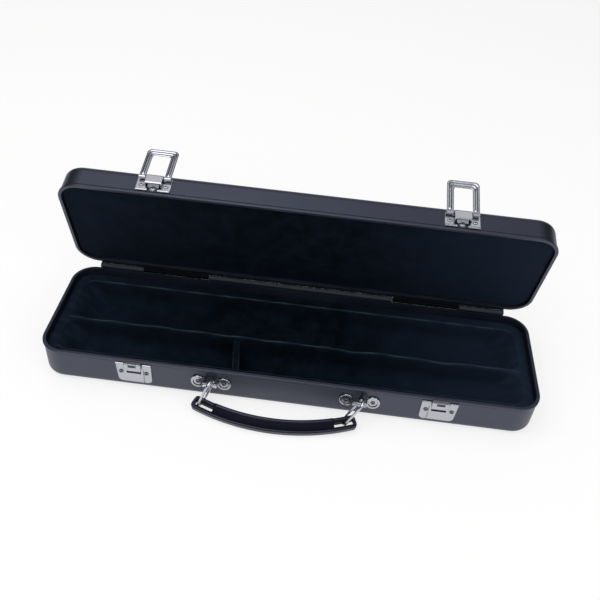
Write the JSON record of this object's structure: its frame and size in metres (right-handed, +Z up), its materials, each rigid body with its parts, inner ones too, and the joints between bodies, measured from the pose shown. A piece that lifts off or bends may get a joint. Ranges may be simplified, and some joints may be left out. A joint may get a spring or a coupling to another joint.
{
  "type": "flute case",
  "caption": "Slim hard case for a flute, hinged lid open, plush lining with two channels, draw latches with pull loops and a curved carrying handle on rings.",
  "frame": {"origin": "centre of the base's flat underside", "axes": "+X along the case, towards the head joint's end; +Y towards the hinge; +Z up; -Y is the side with the latches and the handle"},
  "size_m": [0.42, 0.1652, 0.1592],
  "materials": {
    "case_shell": "satin",
    "plush": "matte",
    "foam": "matte",
    "nickel": "polished",
    "plated_wire": "polished",
    "dark_steel": "satin",
    "inner_steel": "satin",
    "spring_steel": "satin",
    "handle_plastic": "gloss"
  },
  "bodies": {
    "base": {"base_lining": "plush", "base_shell": "case_shell", "foam_back_strip": "foam", "foam_end_blocks": "foam", "foam_front_strip": "foam", "foam_middle_rail": "foam", "foam_sheet": "foam", "handle_backing_plates": "inner_steel", "handle_mount_left": "nickel", "handle_mount_right": "nickel", "handle_mount_rivets": "nickel", "hinge_leaf_base": "dark_steel", "hinge_pin": "dark_steel", "hinge_rivets_base": "dark_steel", "keeper_backing_plates": "inner_steel", "keeper_left": "nickel", "keeper_right": "nickel", "keeper_rivets": "nickel", "pocket_divider": "plush"},
    "lid": {"hinge_leaf_lid": "dark_steel", "hinge_rivets_lid": "dark_steel", "latch_backing_plates": "inner_steel", "latch_pin_left": "nickel", "latch_pin_right": "nickel", "latch_plate_left": "nickel", "latch_plate_right": "nickel", "latch_rivets": "nickel", "latch_spring_left": "spring_steel", "latch_spring_right": "spring_steel", "latch_tongue_rivets": "nickel", "lid_lining": "plush", "lid_pad": "foam", "lid_shell": "case_shell"},
    "loop_left": {"latch_loop_left": "nickel"},
    "loop_right": {"latch_loop_right": "nickel"},
    "ring_left": {"handle_ring_left": "plated_wire"},
    "ring_right": {"handle_ring_right": "plated_wire"},
    "handle": {"handle_grip": "handle_plastic"}
  },
  "joints": [
    {"name": "lid_hinge", "type": "hinge", "parent": "base", "child": "lid", "pos_m": [0, 0.0582, 0.033], "axis": [1, 0, 0], "range_deg": [0, 76.2]},
    {"name": "left_latch_pivot", "type": "hinge", "parent": "lid", "child": "loop_left", "pos_m": [-0.1278, 0.04704, 0.14868], "axis": [1, 0, 0], "range_deg": [0, 184.6]},
    {"name": "right_latch_pivot", "type": "hinge", "parent": "lid", "child": "loop_right", "pos_m": [0.1278, 0.04704, 0.14868], "axis": [1, 0, 0], "range_deg": [0, 177.6]},
    {"name": "left_ring_swing", "type": "hinge", "parent": "base", "child": "ring_left", "pos_m": [-0.0624, -0.0604, 0.0225], "axis": [1, 0, 0], "range_deg": [-110, 0]},
    {"name": "right_ring_swing", "type": "hinge", "parent": "base", "child": "ring_right", "pos_m": [0.0624, -0.0604, 0.0225], "axis": [1, 0, 0], "range_deg": [-110, 0]},
    {"name": "handle_swing", "type": "hinge", "parent": "ring_left", "child": "handle", "pos_m": [-0.0679, -0.0638, 0.0073], "axis": [1, 0, 0], "range_deg": [0, 100]}
  ],
  "couplings": [
    {"joint": "right_ring_swing", "follows": "left_ring_swing", "ratio": 1}
  ]
}
